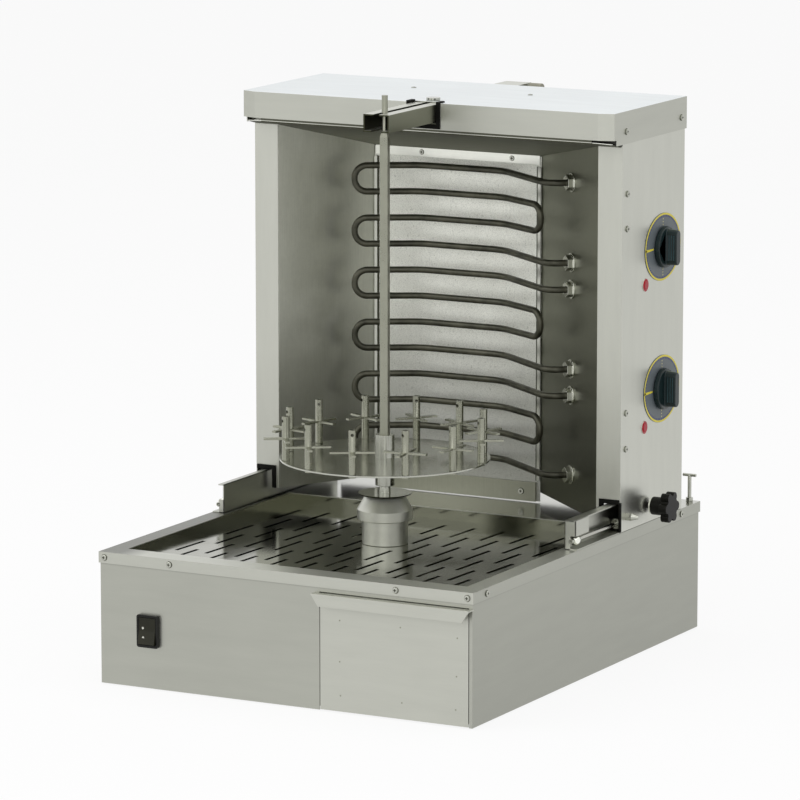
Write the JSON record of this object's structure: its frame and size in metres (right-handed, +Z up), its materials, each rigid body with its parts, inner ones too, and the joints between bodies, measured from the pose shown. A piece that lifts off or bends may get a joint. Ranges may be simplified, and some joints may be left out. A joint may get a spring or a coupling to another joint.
{
  "type": "vertical kebab grill",
  "caption": "Electric vertical kebab grill: slotted drip base with drawer, turning spit with skewer holders, sliding heating tower with serpentine elements and control knobs.",
  "frame": {"origin": "on the bench under the middle of the base case", "axes": "+X to the user's right, +Y to the rear, +Z up"},
  "size_m": [0.56, 0.66, 0.72],
  "materials": {
    "stainless": "brushed",
    "polished": "polished",
    "reflector_sheet": "speckled",
    "plain_steel": "machined",
    "fasteners": "bright",
    "element_sheath": "satin",
    "gearmotor": "satin",
    "black_plastic": "satin",
    "black_rubber": "matte",
    "dial_print": "printed",
    "lamp_lens": "gloss"
  },
  "bodies": {
    "base": {"base_shell": "stainless", "base_bottom": "plain_steel", "base_lid": "stainless", "slotted_tray": "polished", "tray_frame": "polished", "drain_pan": "polished", "hub_bell": "plain_steel", "gearmotor": "gearmotor", "switch_frame": "black_plastic", "rail_left": "stainless", "rail_right": "stainless", "guide_rods": "plain_steel", "rubber_feet": "black_rubber", "cable_gland": "black_plastic", "base_screws": "fasteners"},
    "drawer": {"drawer_pan": "polished", "drawer_front": "stainless"},
    "rocker": {"switch_rocker": "black_plastic"},
    "rear_screw": {"rear_thumb_screw": "plain_steel"},
    "spit": {"drive_shaft": "plain_steel", "slinger_disc": "black_rubber", "spit_sleeve": "plain_steel", "spit_disc": "plain_steel", "spit_bar": "plain_steel"},
    "tower": {"tower_left_wall": "stainless", "tower_right_wall": "stainless", "tower_rear_cover": "stainless", "wing_left": "polished", "wing_right": "polished", "reflector": "reflector_sheet", "ceiling_panel": "polished", "hood": "stainless", "edge_trims": "black_rubber", "heating_element_1": "element_sheath", "heating_element_2": "element_sheath", "heating_element_3": "element_sheath", "element_nuts": "fasteners", "regulators": "black_plastic", "dial_plates": "dial_print", "pilot_lamps": "lamp_lens", "tower_screws": "fasteners", "slider_bushes": "plain_steel"},
    "knob_upper": {"regulator_knob_upper": "black_plastic"},
    "knob_lower": {"regulator_knob_lower": "black_plastic"},
    "star": {"clamp_star_knob": "black_plastic"},
    "arm": {"spit_arm": "stainless", "arm_pull_knob": "black_plastic"},
    "arm_screw": {"arm_clamp_screw": "plain_steel"},
    "holder_01": {"skewer_holder_01": "plain_steel"},
    "holder_02": {"skewer_holder_02": "plain_steel"},
    "holder_03": {"skewer_holder_03": "plain_steel"},
    "holder_04": {"skewer_holder_04": "plain_steel"},
    "holder_05": {"skewer_holder_05": "plain_steel"},
    "holder_06": {"skewer_holder_06": "plain_steel"},
    "holder_07": {"skewer_holder_07": "plain_steel"},
    "holder_08": {"skewer_holder_08": "plain_steel"},
    "holder_09": {"skewer_holder_09": "plain_steel"},
    "holder_10": {"skewer_holder_10": "plain_steel"},
    "holder_11": {"skewer_holder_11": "plain_steel"},
    "holder_12": {"skewer_holder_12": "plain_steel"}
  },
  "joints": [
    {"name": "drawer_slide", "type": "slide", "parent": "base", "child": "drawer", "axis": [0, -1, 0], "range_m": [0, 0.25]},
    {"name": "switch_rock", "type": "hinge", "parent": "base", "child": "rocker", "pos_m": [-0.1895, -0.3205, 0.074], "axis": [1, 0, 0], "range_deg": [0, 14]},
    {"name": "rear_screw_turn", "type": "hinge", "parent": "base", "child": "rear_screw", "pos_m": [0.2486, 0.311, 0.19], "axis": [0, 0, 1], "range_deg": [-180, 180]},
    {"name": "spit_turn", "type": "hinge", "parent": "base", "child": "spit", "pos_m": [0, -0.057, 0.25], "axis": [0, 0, 1], "continuous": true},
    {"name": "tower_slide", "type": "slide", "parent": "base", "child": "tower", "axis": [0, 1, 0], "range_m": [-0.055, 0.035]},
    {"name": "upper_heat_control", "type": "hinge", "parent": "tower", "child": "knob_upper", "pos_m": [0.275, 0.1953, 0.516], "axis": [1, 0, 0], "range_deg": [0, 270]},
    {"name": "lower_heat_control", "type": "hinge", "parent": "tower", "child": "knob_lower", "pos_m": [0.275, 0.1953, 0.3345], "axis": [1, 0, 0], "range_deg": [0, 270]},
    {"name": "star_knob_turn", "type": "hinge", "parent": "tower", "child": "star", "pos_m": [0.28, 0.161, 0.19], "axis": [1, 0, 0], "range_deg": [-180, 180]},
    {"name": "arm_slide", "type": "slide", "parent": "tower", "child": "arm", "axis": [0, 1, 0], "range_m": [-0.028, 0.08]},
    {"name": "arm_screw_turn", "type": "hinge", "parent": "tower", "child": "arm_screw", "pos_m": [0, 0.072, 0.7], "axis": [0, 0, 1], "range_deg": [-180, 180]},
    {"name": "holder_turn_01", "type": "hinge", "parent": "spit", "child": "holder_01", "pos_m": [0.1242, -0.03577, 0.29], "axis": [0, 0, 1], "continuous": true},
    {"name": "holder_turn_02", "type": "hinge", "parent": "spit", "child": "holder_02", "pos_m": [0.09694, 0.02348, 0.29], "axis": [0, 0, 1], "continuous": true},
    {"name": "holder_turn_03", "type": "hinge", "parent": "spit", "child": "holder_03", "pos_m": [0.04371, 0.06117, 0.29], "axis": [0, 0, 1], "continuous": true},
    {"name": "holder_turn_04", "type": "hinge", "parent": "spit", "child": "holder_04", "pos_m": [-0.02123, 0.0672, 0.29], "axis": [0, 0, 1], "continuous": true},
    {"name": "holder_turn_05", "type": "hinge", "parent": "spit", "child": "holder_05", "pos_m": [-0.08049, 0.03994, 0.29], "axis": [0, 0, 1], "continuous": true},
    {"name": "holder_turn_06", "type": "hinge", "parent": "spit", "child": "holder_06", "pos_m": [-0.11817, -0.01329, 0.29], "axis": [0, 0, 1], "continuous": true},
    {"name": "holder_turn_07", "type": "hinge", "parent": "spit", "child": "holder_07", "pos_m": [-0.1242, -0.07823, 0.29], "axis": [0, 0, 1], "continuous": true},
    {"name": "holder_turn_08", "type": "hinge", "parent": "spit", "child": "holder_08", "pos_m": [-0.09694, -0.13748, 0.29], "axis": [0, 0, 1], "continuous": true},
    {"name": "holder_turn_09", "type": "hinge", "parent": "spit", "child": "holder_09", "pos_m": [-0.04371, -0.17517, 0.29], "axis": [0, 0, 1], "continuous": true},
    {"name": "holder_turn_10", "type": "hinge", "parent": "spit", "child": "holder_10", "pos_m": [0.02123, -0.1812, 0.29], "axis": [0, 0, 1], "continuous": true},
    {"name": "holder_turn_11", "type": "hinge", "parent": "spit", "child": "holder_11", "pos_m": [0.08049, -0.15394, 0.29], "axis": [0, 0, 1], "continuous": true},
    {"name": "holder_turn_12", "type": "hinge", "parent": "spit", "child": "holder_12", "pos_m": [0.11817, -0.10071, 0.29], "axis": [0, 0, 1], "continuous": true}
  ]
}
